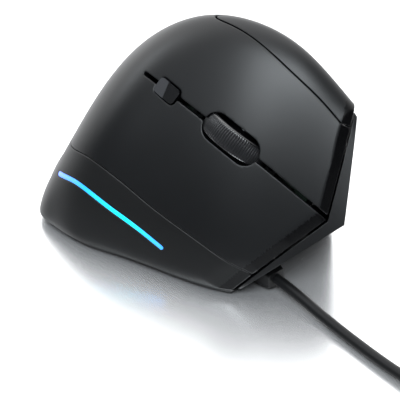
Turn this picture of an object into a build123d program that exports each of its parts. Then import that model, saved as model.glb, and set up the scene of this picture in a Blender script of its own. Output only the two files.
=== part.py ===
from build123d import *
import os
from math import cos, pi, radians, sin, tan

# A wired vertical mouse for the right hand. X points right, to the finger side, Y forward, Z up.
# The origin lies on the desk, under the middle of the mouse. Sizes are millimetres.

os.makedirs("parts", exist_ok=True)

# Overall size of the body
body_length = 116.0
body_width = 66.0
body_height = 74.0

# Shells
shell_wall = 2.2
seam_gap = 0.3
key_gap = 0.6
overrun = 6.0

# Base, feet and the dark band along the bottom
foot_thickness = 0.8
foot_gap = 0.6
base_thickness = 2.2
base_inset = 0.8
lip_gap = 0.25
lip_height = 3.0
room_gap = 1.5

# Front: where the finger panel breaks, where the bezel ends, and how the two front faces turn
upper_break_shares = [(0.032, 0.431, 0.405), (-0.091, 0.419, 0.563), (-0.221, 0.400, 0.711)]
lower_break_shares = [(0.032, 0.431, 0.405), (0.169, 0.374, 0.297), (0.287, 0.313, 0.188),
                      (0.373, 0.238, 0.041)]
nose_tip_shares = (-0.012, 0.501, 0.362)
top_tip_shares = (-0.303, 0.426, 0.757)
foot_corner_shares = (0.341, 0.267, 0.0)
front_turn = 32.0
foot_turn = -10.0
bevel_run = 3.3
bevel_drop = 1.5
bezel_drop = 1.8
front_wall = 2.2
bezel_room_shares = (0.76, 0.86)
bezel_middle_share = -0.080

# Seams in side view: shares of the length and of the height
ridge_seam_shares = [(-0.050, 0.976), (0.026, 0.981), (0.152, 0.946), (0.269, 0.859), (0.347, 0.776),
                     (0.400, 0.711), (0.525, 0.570)]
skirt_seam_shares = [(-0.551, 0.310), (-0.427, 0.335), (-0.329, 0.372), (-0.246, 0.406), (-0.147, 0.384),
                     (-0.003, 0.308), (0.169, 0.228), (0.290, 0.151), (0.452, 0.050)]
back_seam_shares = [(-0.050, 1.060), (-0.075, 0.800), (-0.148, 0.450), (-0.262, 0.200), (-0.324, -0.100)]
ridge_split_share = -0.295

# Finger side: the wheel's place on the skin, and how the side leans and falls forward there
wheel_place_shares = (0.086, 0.159, 0.634)
flank_lean = 36.5
flank_fall = 20.5
slot_lean = 50.0
slot_width = 1.1

# Keys
flex_back = 37.7
flex_drop = 2.0
flex_lean = 13.0
key_press_angle = 0.5
key_post_radius = 1.5
key_switch_along = 20.4
key_switch_places = (5.6, -8.6)
touch_room = 0.3

# Wheel
wheel_radius = 12.5
wheel_proud = 3.5
wheel_width = 7.4
tyre_width = 5.0
tyre_thickness = 2.0
tyre_ribs = 90
tyre_rib_depth = 0.2
hub_flange_drop = 0.5
axle_radius = 1.2
running_gap = 0.1
wheel_press = 0.6
wheel_opening_length = 21.6
wheel_opening_width = 9.6
wheel_room_depth = 0.6
wheel_room_gap = 0.35
carrier_length = 34.0
carrier_wall = 2.9
carrier_height = 5.0
carrier_window_length = 26.4
carrier_window_width = 8.6
carrier_pin_radius = 1.0
carrier_pin_along = 15.0
carrier_pin_rise = 4.0
carrier_arm_width = 5.0
carrier_arm_length = 5.0
carrier_arm_thickness = 2.0
encoder_length = 10.0
encoder_width = 5.0
encoder_rise = 4.4
encoder_hole_radius = 2.0
encoder_gap = 0.9

# Resolution button in the slot
dpi_along = -27.0
dpi_across = -1.0
dpi_length = 8.6
dpi_width = 5.4
dpi_corner = 1.3
dpi_gap = 0.35
dpi_proud = 0.9
dpi_depth = 4.0
dpi_facet_angle = 8.0
dpi_press = 0.6
dpi_stem_radius = 1.3
dpi_back_tilt = 9.0
dpi_foot_width = 4.6
dpi_foot_height = 3.6

# Switches and boards
switch_length = 12.8
switch_width = 5.8
switch_height = 6.5
plunger_height = 0.5
plunger_radius = 1.0
board_thickness = 1.6
frame_thickness = 1.8
frame_back = 32.0
frame_front = 30.4
frame_low = 30.0
frame_high = 13.0
frame_corner = 18.0
board_edge = 1.5
board_slot_gap = 1.2
middle_switch_length = 6.0
middle_switch_width = 4.6
middle_least_height = 2.6
leg_length = 5.0
leg_width = 4.6
leg_offsets = [(1.25, -36.0), (1.25, -1.6), (-19.7, 8.0)]

# Thumb buttons
thumb_button_length = 17.0
thumb_button_height = 6.4
thumb_button_corner = 2.4
thumb_button_gap = 0.35
thumb_button_proud = 0.8
thumb_press = 0.6
thumb_button_shares = [(0.242, 0.742), (0.077, 0.797)]
thumb_button_tilts = [-24.0, -8.0]
thumb_stem_radius = 1.5
thumb_stem_length = 2.0
thumb_switch_side = 6.0
thumb_switch_depth = 3.4
thumb_board_length = 32.0
thumb_board_height = 13.0
thumb_board_middle_shares = (0.157, 0.722)
tab_length = 24.0

# Main board, sensor and inner cable
board_rise = 4.2
main_board_corner_shares = ((-0.365, -0.324), (0.060, 0.183))
post_radius = 2.2
post_inset = 5.0
sensor_place_shares = (-0.110, 0.028)
sensor_length = 11.0
sensor_width = 8.0
sensor_height = 3.0
lens_length = 13.0
lens_width = 10.0
lens_gap = 0.2
lens_window = 6.0
lens_foot_drop = 1.0
socket_length = 9.0
socket_width = 5.0
socket_height = 5.6
socket_place_shares = (-0.015, 0.107)
lead_radius = 1.4
lead_first_run = 3.0
lead_last_run = 4.0
lead_bend_shares = (0.045, 0.195)
lead_bend_radius = 2.6
harness_radius = 1.2
harness_plug_length = 7.0
harness_plug_width = 4.0
harness_plug_height = 3.6
harness_along = -15.0
harness_across = -22.0
harness_out_run = 8.0
harness_in_run = 10.0
harness_bend_radius = 5.0
harness_board_shares = (0.0, -0.086)

# Lit strip in the skirt
strip_shares = [(-0.328, 0.276), (-0.251, 0.300), (-0.119, 0.248), (-0.015, 0.195), (0.059, 0.152)]
strip_width = 1.3
strip_gap = 0.1
strip_flange = 1.0
strip_flange_drop = 3.2
light_board_shares = (0.300, -0.117)
light_board_length = 36.0
light_board_thickness = 1.2
light_board_top_share = 0.270
led_place_shares = [-0.236, -0.119, -0.013]
led_length = 3.0
led_height = 2.0
led_depth = 1.8
led_steps = 200

# Cable and its boot
cable_diameter = 3.5
cable_heading = 13.4
exit_shares = (0.166, 0.354)
exit_rise = 4.3
boot_length = 5.5
boot_root_width = 8.4
boot_tip_width = 6.6
boot_height = 6.4
boot_tip_height = 5.4
boot_corner = 0.8
neck_length = 4.0
neck_width = 6.4
collar_thickness = 1.5
collar_width = 9.0
lip_setback = 8.0

# The cable's route on the desk, each point as distance from the exit, distance to the left, and height
cable_points = [(0.0, 0.0, 4.3), (8.0, 0.0, 4.3), (22.0, 0.35, 1.8), (47.0, -0.35, 1.8), (62.0, 0.2, 2.45),
                (77.0, 0.3, 2.45)]
bend_share = 0.45

# Coil of spare cable, its tie and the plug, beyond the photograph
coil_outer_radius = 24.75
coil_step = 2.3
coil_layer_height = 4.2
coil_runs = [(5, -1), (1, 0), (5, 1), (1, 0), (5, -1), (1, 0), (4, 1)]
coil_least_gap = 0.4
gap_steps = 12
tie_width = 3.0
tie_thickness = 0.6
tie_gap = 0.1
tie_corner = 1.2
tail_first_run = 12.0
tail_points = [(33.0, -15.0, 9.0), (41.0, 4.0, 4.0), (41.0, 18.0, 4.0)]
grip_length = 20.0
grip_width = 15.5
grip_height = 8.0
grip_corner = 2.0
grip_neck_length = 6.0
grip_neck_width = 8.0
grip_neck_height = 6.4
plug_shell_length = 12.0
plug_shell_width = 12.0
plug_shell_height = 4.5
plug_shell_wall = 0.3
plug_shell_corner = 0.6
plug_tongue_length = 11.0
plug_tongue_width = 10.6
plug_tongue_height = 1.8
plug_window_side = 2.2
plug_window_across = 2.8
plug_window_along = 5.5

# Feet and screws
front_skate_length = 7.0
front_skate_width = 34.0
front_skate_shares = (-0.020, 0.150)
rear_skate_length = 8.0
rear_skate_width = 26.0
rear_skate_shares = (-0.050, -0.355)
skate_corner = 3.0
skate_gap = 0.2
screw_radius = 0.9
screw_head_radius = 1.9
screw_head_height = 1.1
screw_length = 8.0
screw_gap = 0.1
board_screw_length = 4.0

# Each cross-section of the skin: its place along the length, the ridge's place across, the ridge's
# height, the foot on the finger side, the foot on the thumb side, and how far it is a plain dome.
section_shares = [
    (0.521, -0.318, 0.628, 0.121, -0.409, 0.0),
    (0.383, -0.318, 0.780, 0.250, -0.433, 0.0),
    (0.237, -0.311, 0.939, 0.356, -0.455, 0.0),
    (0.064, -0.295, 0.997, 0.409, -0.485, 0.0),
    (-0.091, -0.258, 0.950, 0.442, -0.485, 0.1),
    (-0.220, -0.197, 0.818, 0.470, -0.470, 0.3),
    (-0.324, -0.152, 0.608, 0.447, -0.439, 0.4),
    (-0.401, -0.129, 0.345, 0.380, -0.379, 0.4),
    (-0.444, -0.110, 0.216, 0.250, -0.311, 0.6),
    (-0.475, -0.095, 0.149, 0.144, -0.250, 0.8),
    (-0.500, -0.085, 0.101, 0.023, -0.174, 0.9),
]
# The section's own outline, foot to ridge on the finger side, then ridge to foot on the thumb side.
# The first number runs from the ridge to the foot, the second is the height.
finger_side_shares = [(1, 0), (1.03, 0.055), (1.01, 0.135), (0.935, 0.265), (0.80, 0.425), (0.62, 0.60),
                      (0.42, 0.765), (0.24, 0.895), (0.11, 0.97), (0, 1)]
thumb_side_shares = [(0.33, 0.965), (0.60, 0.88), (0.66, 0.77), (0.52, 0.63), (0.33, 0.48), (0.36, 0.33),
                     (0.65, 0.205), (0.97, 0.125), (1.05, 0.065), (0.98, 0)]
finger_dome_shares = [(1, 0), (1.04, 0.09), (1.04, 0.20), (1.0, 0.35), (0.92, 0.52), (0.79, 0.69),
                      (0.62, 0.83), (0.42, 0.93), (0.20, 0.985), (0, 1)]
thumb_dome_shares = [(0.22, 0.985), (0.45, 0.93), (0.66, 0.83), (0.82, 0.69), (0.93, 0.52), (1.0, 0.36),
                     (1.03, 0.22), (1.04, 0.11), (1.03, 0.05), (1.0, 0)]
# How much of an inset also moves each section forward, so that the round back keeps its wall
back_inset_shares = [0, 0, 0, 0, 0, 0.1, 0.3, 0.6, 0.8, 0.9, 1.0]


# How blocks and posts are held: at the middle of the foot, or at the middle of the top
from_foot = (Align.CENTER, Align.CENTER, Align.MIN)
from_top = (Align.CENTER, Align.CENTER, Align.MAX)


def place(shares):
    """A point given by its shares of the body's width, length and height."""
    return Vector(shares[0] * body_width, shares[1] * body_length, shares[2] * body_height)


def section_points(row, inset, back_share):
    """The outline of one cross-section, moved inward by the inset."""
    along, ridge, height, finger_foot, thumb_foot, dome = row
    y = along * body_length + inset * back_share
    outline = []
    for foot, plain, domed in (
        (finger_foot, finger_side_shares, finger_dome_shares),
        (thumb_foot, thumb_side_shares, thumb_dome_shares),
    ):
        for (plain_out, plain_up), (dome_out, dome_up) in zip(plain, domed):
            out = plain_out + (dome_out - plain_out) * dome
            up = plain_up + (dome_up - plain_up) * dome
            outline.append(Vector((ridge + (foot - ridge) * out) * body_width, 0, up * height * body_height))
    moved = []
    last = len(outline) - 1
    middle = (outline[0].X + outline[last].X) / 2
    half_width = (outline[0].X - outline[last].X) / 2
    top = height * body_height
    for index, point in enumerate(outline):
        before = outline[max(index - 1, 0)]
        after = outline[min(index + 1, last)]
        run = after - before
        if index in (0, last):
            run = Vector(0, 0, run.Z)
        outward = Vector(run.Z, 0, -run.X).normalized()
        walled = Vector(point.X - outward.X * inset, 0, point.Z - outward.Z * inset)
        narrower = middle + (point.X - middle) * (1 - inset / half_width)
        shrunk = Vector(narrower, 0, point.Z * (1 - inset / top))
        mixed = walled + (shrunk - walled) * back_share
        moved.append(Vector(mixed.X, y, mixed.Z))
    return moved


def skin(inset):
    """The whole body as one closed form, inset from the outer skin and run on below the desk."""
    sections = []
    for row, back_share in zip(section_shares, back_inset_shares):
        points = section_points(row, inset, back_share)
        steps = [index / (len(points) - 1) for index in range(len(points))]
        curve = Edge.make_spline(points, parameters=steps)
        first = points[0]
        last = points[-1]
        first_low = Vector(first.X, first.Y, -overrun)
        last_low = Vector(last.X, last.Y, -overrun)
        sides = [Edge.make_line(last, last_low), Edge.make_line(last_low, first_low),
                 Edge.make_line(first_low, first)]
        sections.append(Wire([curve] + sides))
    return Solid.make_loft(sections)


def facing(normal, forward):
    """The direction itself, turned round if it points away from the given one."""
    return normal if normal.dot(forward) > 0 else normal * -1


def face_through(first, second, sweep, forward, setback):
    """A flat face through two points and along a sweep, set back behind them."""
    normal = facing((second - first).cross(sweep).normalized(), forward)
    return Plane(origin=first - normal * setback, z_dir=normal)


def behind(face):
    """All the space behind a face, as one large block."""
    reach = body_length * 2
    return face * Box(reach, reach, reach, align=from_top)


def slab(low, high):
    """All the space between two heights."""
    reach = body_length * 2
    return Pos(0, 0, low) * Box(reach, reach, high - low, align=from_foot)


def beside(x):
    """All the space on the finger side of an upright wall."""
    reach = body_length * 2
    return Pos(x, 0, 0) * Box(reach, reach, reach, align=(Align.MIN, Align.CENTER, Align.CENTER))


def under(shares, lift):
    """All the space under a curve drawn in side view, from one side of the body to the other."""
    reach = body_width * 2
    points = [Vector(-body_width, y * body_length, z * body_height + lift) for y, z in shares]
    first = points[0]
    last = points[-1]
    first_low = Vector(first.X, first.Y, -overrun)
    last_low = Vector(last.X, last.Y, -overrun)
    edges = [Edge.make_spline(points), Edge.make_line(last, last_low),
             Edge.make_line(last_low, first_low), Edge.make_line(first_low, first)]
    return extrude(Face(Wire(edges)), amount=reach, dir=(1, 0, 0))


def back_of(shares, shift):
    """All the space behind a curve drawn in side view, from one side of the body to the other."""
    reach = body_width * 2
    points = [Vector(-body_width, y * body_length + shift, z * body_height) for y, z in shares]
    first = points[0]
    last = points[-1]
    first_back = Vector(first.X, -body_length, first.Z)
    last_back = Vector(last.X, -body_length, last.Z)
    edges = [Edge.make_spline(points), Edge.make_line(last, last_back),
             Edge.make_line(last_back, first_back), Edge.make_line(first_back, first)]
    return extrude(Face(Wire(edges)), amount=reach, dir=(1, 0, 0))


def node(name, *solids):
    """Write one named piece, which may be a group of like solids."""
    pieces = [piece for shape in solids for piece in shape.solids()]
    shape = pieces[0] if len(pieces) == 1 else Compound(children=pieces)
    export_step(shape, f"parts/{name}.step")
    print(name, len(pieces), round(sum(piece.volume for piece in pieces), 1))


def largest(shape):
    """The largest solid of a shape, without slivers."""
    return max(shape.solids(), key=lambda piece: piece.volume)


# The skins that bound every shell, from the outside in
outer_skin = skin(0)
inner_skin = skin(shell_wall)
room_skin = skin(shell_wall + room_gap)
band_top = foot_gap + base_thickness

# The front faces
upper_sweep = Vector(-cos(radians(front_turn)), -sin(radians(front_turn)), 0)
lower_sweep = Vector(-cos(radians(foot_turn)), -sin(radians(foot_turn)), 0)
upper_break = [place(shares) for shares in upper_break_shares]
lower_break = [place(shares) for shares in lower_break_shares]
nose_edge = upper_break[0]
top_edge = upper_break[-1]
low_edge = lower_break[-1]
nose_tip = place(nose_tip_shares)
top_tip = place(top_tip_shares)
foot_corner = place(foot_corner_shares)
ahead = Vector(0, 1, 0)
panel_normal = facing((top_edge - nose_edge).cross(low_edge - nose_edge).normalized(), Vector(1, 0, 0))


def front_room(setback):
    """The space behind the bezel's two outer faces."""
    upper = face_through(nose_tip, top_tip, upper_sweep, ahead, setback)
    lower = face_through(nose_tip, foot_corner, lower_sweep, ahead, setback)
    return behind(upper) & behind(lower)


def panel_room(setback):
    """The space behind the chevron that the shells end at."""
    upper = face_through(nose_edge, top_edge, upper_sweep, ahead, setback)
    lower = face_through(nose_edge, low_edge, lower_sweep, ahead, setback)
    return behind(upper) & behind(lower)


def bevel_space(break_line, sweep):
    """The space behind the sloping dark face that falls from a break line to the chevron's foot."""
    rim = face_through(break_line[0], break_line[-1], sweep, ahead, 0)
    slope = rim.z_dir * bevel_run - panel_normal * bevel_drop
    space = behind(face_through(break_line[0], break_line[1], slope, panel_normal, 0))
    for start, end in zip(break_line[1:], break_line[2:]):
        space = space & behind(face_through(start, end, slope, panel_normal, 0))
    return space


bevel_room = bevel_space(upper_break, upper_sweep) & bevel_space(lower_break, lower_sweep)

# The hollow shell, ended at the chevron and open at the bottom
shell = (outer_skin & slab(band_top, body_height + overrun)) - inner_skin
shell = shell & panel_room(-bevel_run)
shell = shell & front_room(0)
shell = shell & bevel_room


def cover_zone(grown):
    """The part of the body that the covers and keys take, all but the thumb shell's."""
    split = beside(ridge_split_share * body_width - grown)
    ridge_end = ridge_seam_shares[0][0] * body_length + grown
    back_block = Pos(0, ridge_end, 0) * Box(
        body_width * 2, body_length, body_height * 2 + overrun, align=(Align.CENTER, Align.MAX, Align.CENTER))
    return (under(ridge_seam_shares, grown) & split) + (back_block & split) + back_of(back_seam_shares, grown)


finger_zone = cover_zone(0) & beside(ridge_split_share * body_width)
thumb_shell = largest(shell - cover_zone(seam_gap))
covers = shell & cover_zone(0)
side_skirt = largest(covers & under(skirt_seam_shares, 0))
panel = covers - under(skirt_seam_shares, seam_gap)

# The finger side's own axes at the wheel: forward along the slot, up the side, and outward
lean = radians(flank_lean)
fall = radians(flank_fall)
slot_rise = radians(slot_lean)
wheel_place = place(wheel_place_shares)
along = Vector(0, cos(fall), -sin(fall))
outward = Vector(cos(lean), sin(lean) * sin(fall), sin(lean) * cos(fall))
flank = Plane(origin=wheel_place, x_dir=along, z_dir=outward)
slot_outward = Vector(cos(slot_rise), sin(slot_rise) * sin(fall), sin(slot_rise) * cos(fall))
slot_frame = Plane(origin=wheel_place, x_dir=along, z_dir=slot_outward)


def flank_point(forward, up, out):
    """A place given along the slot, up the finger side and outward from it."""
    return wheel_place + along * forward + flank.y_dir * up + outward * out


def depth_of(form, forward, up):
    """How far out a skin lies on the finger side, at one place of it."""
    far = body_width
    line = Axis(flank_point(forward, up, far), outward * -1)
    hits = form.find_intersection_points(line)
    return max((point - wheel_place).dot(outward) for point, normal in hits)


# Keys: the front of the panel on either side of the slot, from the flex line forward
reach = body_length
flex_shift = tan(radians(flex_lean))


def key_zone(grown):
    """The space of both keys, seen square on to the finger side."""
    back = -flex_back - grown
    back_top = back + (reach + flex_drop) * flex_shift
    outline = [(back, -reach), (reach, -reach), (reach, reach), (back_top, reach), (back, -flex_drop)]
    depth = wheel_radius * 2 - shell_wall * 2
    return flank * Pos(0, 0, -depth) * extrude(Polygon(*outline, align=None), amount=depth * 2)


opening_outline = SlotOverall(wheel_opening_length, wheel_opening_width)
wheel_opening = flank * extrude(opening_outline, amount=wheel_radius, both=True)
wheel_depth = wheel_proud - wheel_radius
wheel_frame = flank * Pos(0, 0, wheel_depth) * Rot(90, 0, 0)
below_rim = flank * Pos(0, 0, -wheel_room_depth) * Box(
    wheel_radius * 4, wheel_radius * 4, wheel_radius * 4, align=from_top)
wheel_room = wheel_frame * Cylinder(wheel_radius + wheel_room_gap, wheel_width + wheel_room_gap * 2)
wheel_room = wheel_room & below_rim
dpi_skin = depth_of(outer_skin, dpi_along, dpi_across)
dpi_place = flank_point(dpi_along, dpi_across, dpi_skin)
dpi_seat = Plane(origin=dpi_place, x_dir=along, z_dir=outward)
dpi_frame = Plane(dpi_seat.location * Rot(0, -dpi_back_tilt, 0))
dpi_outline = RectangleRounded(dpi_length, dpi_width, dpi_corner)
dpi_opening = dpi_frame * extrude(offset(dpi_outline, amount=dpi_gap), amount=dpi_depth, both=True)
slot_cut = slot_frame * Pos(-flex_back, 0, 0) * Box(
    reach, slot_width, wheel_radius * 2, align=(Align.MIN, Align.CENTER, Align.CENTER))
above_slot = slot_frame * Box(reach * 2, reach, reach * 2, align=(Align.CENTER, Align.MIN, Align.CENTER))
below_slot = slot_frame * Box(reach * 2, reach, reach * 2, align=(Align.CENTER, Align.MAX, Align.CENTER))

keys = panel & key_zone(0) & finger_zone
keys = keys - under(skirt_seam_shares, key_gap)
keys = keys - slot_cut - wheel_opening - wheel_room - dpi_opening
palm_cover = largest(panel - (key_zone(seam_gap) & beside(ridge_split_share * body_width - seam_gap)))
left_key = largest(keys & above_slot)
right_key = largest(keys & below_slot)


# Depths on the finger side: switches, boards and frame are stacked down from the keys' inner face
switch_front = key_switch_along + switch_width / 2
key_under = min(depth_of(inner_skin, switch_front, across + side * switch_length / 2)
                for across in key_switch_places for side in (-1, 1))
key_travel = (flex_back + switch_front) * tan(radians(key_press_angle))
middle_top = wheel_proud - wheel_radius - carrier_arm_thickness / 2 - wheel_press - touch_room
board_top = min(key_under - key_travel - touch_room - switch_height, middle_top - middle_least_height)
switch_top = board_top + switch_height
post_foot = switch_top + plunger_height + key_travel + touch_room
board_under = board_top - board_thickness
frame_under = board_under - frame_thickness


def key_post(across):
    """The post under a key that presses its switch."""
    top = depth_of(outer_skin, key_switch_along, across) - shell_wall / 2
    return flank * Pos(key_switch_along, across, post_foot) * Cylinder(
        key_post_radius, top - post_foot, align=from_foot)


left_key = left_key + key_post(key_switch_places[0])
right_key = right_key + key_post(key_switch_places[1])

# Thumb buttons: caps let into the thumb shell on the far side, each on a stem
proud_skin = skin(-thumb_button_proud)
thumb_side = Pos(-body_width, 0, 0) * Box(
    body_width + ridge_split_share * body_width, body_length, body_height * 2,
    align=(Align.MIN, Align.CENTER, Align.CENTER))
thumb_openings = []
thumb_buttons = []
for (button_y, button_z), tilt in zip(thumb_button_shares, thumb_button_tilts):
    middle = Vector(-body_width, button_y * body_length, button_z * body_height)
    button_frame = Plane(origin=middle, x_dir=(0, 1, 0), z_dir=(1, 0, 0))
    outline = RectangleRounded(thumb_button_length, thumb_button_height, thumb_button_corner)
    grown = offset(outline, amount=thumb_button_gap)
    cap = button_frame * Rot(0, 0, tilt) * extrude(outline, amount=body_width)
    hole = button_frame * Rot(0, 0, tilt) * extrude(grown, amount=body_width)
    button = largest(((proud_skin - inner_skin) & cap) & thumb_side)
    across = Axis(middle, Vector(1, 0, 0))
    back_face = min(point.X for point, normal in inner_skin.find_intersection_points(across))
    stem_back = Pos(back_face + thumb_stem_length, middle.Y, middle.Z) * Rot(0, -90, 0)
    stem = stem_back * Cylinder(
        thumb_stem_radius, thumb_stem_length + shell_wall / 2, align=from_foot)
    thumb_buttons.append(button + stem)
    thumb_openings.append(hole & thumb_side)
for opening in thumb_openings:
    thumb_shell = thumb_shell - opening
thumb_shell = largest(thumb_shell)
stem_end = max(button.bounding_box().max.X for button in thumb_buttons)


# Lit strip, let into the skirt with a flange behind the wall
def strip_space(width):
    """The space of the lit strip seen from the finger side, with rounded ends."""
    points = [(y * body_length, z * body_height) for y, z in strip_shares]
    line = Spline(*points)
    ends = [Pos(*point) * Circle(width / 2) for point in (points[0], points[-1])]
    outline = trace(line, width) + ends
    return Plane.YZ * extrude(outline, amount=body_width)


flange_skin = skin(strip_flange_drop)
light_guide = largest((outer_skin - inner_skin) & strip_space(strip_width))
light_guide = light_guide + largest((inner_skin - flange_skin) & strip_space(strip_width + strip_flange * 2))
side_skirt = largest(side_skirt - strip_space(strip_width + strip_gap * 2))

# Bezel: the hollow front cap, set below the panel and a gap ahead of its end. Its room is the outer form
# made narrower and lower about a line along the desk.
bezel_skin = skin(bezel_drop)
bezel_middle = Pos(bezel_middle_share * body_width, 0, 0)
bezel_room = bezel_middle * scale(
    bezel_middle.inverse() * outer_skin, by=(bezel_room_shares[0], 1, bezel_room_shares[1]))
above_base = slab(band_top, body_height + overrun)
cap_space = (front_room(0) - panel_room(-bevel_run - key_gap)) & above_base
front_bezel = (bezel_skin & cap_space) - (bezel_room & front_room(front_wall))

# Cable exit, low in the front under the nose
exit_place = Vector(exit_shares[0] * body_width, exit_shares[1] * body_length, exit_rise)
exit_heading = Vector(sin(radians(cable_heading)), cos(radians(cable_heading)), 0)
exit_frame = Plane(origin=exit_place, x_dir=exit_heading, z_dir=(0, 0, 1))
neck_top = boot_height / 2
collar_back = boot_length + neck_length + collar_thickness
boot_notch = exit_frame * Pos(-collar_back, 0, neck_top + running_gap) * Box(
    collar_back * 2, neck_width + running_gap * 2, exit_rise + boot_height,
    align=(Align.MIN, Align.CENTER, Align.MAX))
boot_room = exit_frame * Pos(-boot_length - running_gap, 0, neck_top + running_gap) * Box(
    collar_back, boot_root_width + running_gap * 2, exit_rise + boot_height,
    align=(Align.MIN, Align.CENTER, Align.MAX))
collar_room = exit_frame * Pos(-boot_length - neck_length + running_gap, 0, neck_top + running_gap) * Box(
    collar_back, collar_width + running_gap * 2, exit_rise + boot_height,
    align=(Align.MAX, Align.CENTER, Align.MAX))
front_bezel = largest(front_bezel - boot_notch - boot_room - collar_room)


def tapered_boot():
    """The boxy boot: wide against the front, narrower where the cable leaves."""
    root_outline = RectangleRounded(boot_height, boot_root_width, boot_corner)
    root = Pos(-boot_length, 0, 0) * Rot(0, 90, 0) * root_outline
    tip = Rot(0, 90, 0) * RectangleRounded(boot_tip_height, boot_tip_width, boot_corner)
    return exit_frame * loft([root, tip])


boot_neck = exit_frame * Pos(-boot_length, 0, 0) * Box(
    neck_length, neck_width, boot_height, align=(Align.MAX, Align.CENTER, Align.CENTER))
boot_collar = exit_frame * Pos(-boot_length - neck_length, 0, 0) * Box(
    collar_thickness, collar_width, boot_height, align=(Align.MAX, Align.CENTER, Align.CENTER))
strain_relief = tapered_boot() + boot_neck + boot_collar

# Base plate: the dark band, with a lip that the shells fit round
base_skin = skin(base_inset)
lip_skin = skin(shell_wall + lip_gap)
base_plate = base_skin & slab(foot_gap, band_top) & front_room(base_inset)
lip = ((lip_skin - room_skin) & slab(band_top, band_top + lip_height)) & panel_room(lip_setback)
base_plate = base_plate + lip
collar_notch = exit_frame * Pos(-collar_back - running_gap, 0, 0) * Box(
    collar_back * 2, collar_width + running_gap * 2, boot_height * 2,
    align=(Align.MIN, Align.CENTER, Align.CENTER))
base_plate = base_plate - collar_notch

# Main board on posts, with the sensor over its window
board_level = band_top + board_rise
low_corner = [share * size for share, size in zip(main_board_corner_shares[0], (body_width, body_length))]
high_corner = [share * size for share, size in zip(main_board_corner_shares[1], (body_width, body_length))]
board_middle = [(low + high) / 2 for low, high in zip(low_corner, high_corner)]
board_size = [high - low for low, high in zip(low_corner, high_corner)]
sensor_x = sensor_place_shares[0] * body_width
sensor_y = sensor_place_shares[1] * body_length
lens_hole = Pos(sensor_x, sensor_y, 0) * Box(lens_window, lens_window, board_level * 2)
main_board = Pos(board_middle[0], board_middle[1], board_level) * Box(
    board_size[0], board_size[1], board_thickness, align=from_foot)
main_board = (main_board & room_skin & front_room(front_wall + room_gap)) - lens_hole
post_places = []
for x in (low_corner[0] + post_inset * 2, high_corner[0] - post_inset):
    for y in (low_corner[1] + post_inset * 2, high_corner[1] - post_inset):
        post_places.append((x, y))
for x, y in post_places:
    base_plate = base_plate + Pos(x, y, band_top) * Cylinder(
        post_radius, board_rise, align=from_foot)
lens_seat = Pos(sensor_x, sensor_y, 0) * Box(
    lens_width + lens_gap * 2, lens_length + lens_gap * 2, band_top * 2)
lens_foot = Pos(sensor_x, sensor_y, foot_gap + lens_foot_drop) * Box(
    lens_width, lens_length, board_level - foot_gap - lens_foot_drop, align=from_foot)
lens_eye = Pos(sensor_x, sensor_y, foot_gap + lens_foot_drop) * Sphere(lens_window / 2)
sensor_lens = lens_foot - lens_eye
base_plate = base_plate - lens_seat
sensor_chip = Pos(sensor_x, sensor_y, board_level + board_thickness) * Box(
    sensor_width, sensor_length, sensor_height, align=from_foot)
socket_x = socket_place_shares[0] * body_width
socket_y = socket_place_shares[1] * body_length
socket_level = board_level + board_thickness
cable_socket = Pos(socket_x, socket_y, socket_level) * Box(
    socket_length, socket_width, socket_height, align=from_foot)

# Two screws hold the main board down on opposite posts
board_screws = []
for post_x, post_y in (post_places[1], post_places[2]):
    head = Pos(post_x, post_y, socket_level) * Cylinder(
        screw_head_radius, screw_head_height, align=from_foot)
    shank = Pos(post_x, post_y, socket_level) * Cylinder(
        screw_radius, board_thickness + board_screw_length, align=from_top)
    board_screws.append(head + shank)
    main_board = main_board - shank
    base_plate = base_plate - shank

# Skates in shallow seats
skates = []
for (skate_x, skate_y), length, width in (
    (front_skate_shares, front_skate_length, front_skate_width),
    (rear_skate_shares, rear_skate_length, rear_skate_width),
):
    spot = Pos(skate_x * body_width, skate_y * body_length, 0)
    skates.append(spot * extrude(RectangleRounded(width, length, skate_corner), amount=foot_thickness))
    seat = RectangleRounded(width + skate_gap * 2, length + skate_gap * 2, skate_corner + skate_gap)
    base_plate = base_plate - spot * extrude(seat, amount=foot_thickness)

# Slanted frame under the keys: a plate on three legs, with a tab for the thumb switches
frame_outline = [(-frame_back, -frame_low), (frame_front - frame_corner, -frame_low),
                 (frame_front, -frame_low + frame_corner), (frame_front, frame_high), (-frame_back, frame_high)]
plate = flank * Pos(0, 0, frame_under) * extrude(Polygon(*frame_outline, align=None), amount=frame_thickness)
below_plate = flank * Pos(0, 0, frame_under) * Box(
    reach * 2, reach * 2, reach * 2, align=from_top)
key_frame = plate
leg_places = [(wheel_place.X + x, wheel_place.Y + y) for x, y in leg_offsets]
for leg_x, leg_y in leg_places:
    leg = Pos(leg_x, leg_y, band_top) * Box(
        leg_width, leg_length, body_height, align=from_foot)
    key_frame = key_frame + (leg & below_plate)
thumb_board_x = stem_end + thumb_press + touch_room + thumb_switch_depth
thumb_board_y = thumb_board_middle_shares[0] * body_length
thumb_board_z = thumb_board_middle_shares[1] * body_height
# Base screws pass up through the plate into the legs
base_screws = []
for leg_x, leg_y in leg_places:
    seat_level = foot_thickness + screw_gap + screw_head_height
    head = Pos(leg_x, leg_y, seat_level) * Cylinder(
        screw_head_radius, screw_head_height, align=from_top)
    shank = Pos(leg_x, leg_y, seat_level) * Cylinder(
        screw_radius, screw_length, align=from_foot)
    base_screws.append(head + shank)
    head_hole = Pos(leg_x, leg_y, seat_level) * Cylinder(
        screw_head_radius + screw_gap, base_thickness, align=from_top)
    shank_hole = Pos(leg_x, leg_y, seat_level) * Cylinder(screw_radius + screw_gap, base_thickness * 2)
    base_plate = base_plate - head_hole - shank_hole
    key_frame = key_frame - shank
tab = Pos(thumb_board_x + board_thickness, thumb_board_y, thumb_board_z + thumb_board_height / 2) * Box(
    frame_thickness, tab_length, thumb_board_height * 2, align=(Align.MIN, Align.CENTER, Align.MAX))
key_frame = key_frame + (tab - below_plate)
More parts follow.
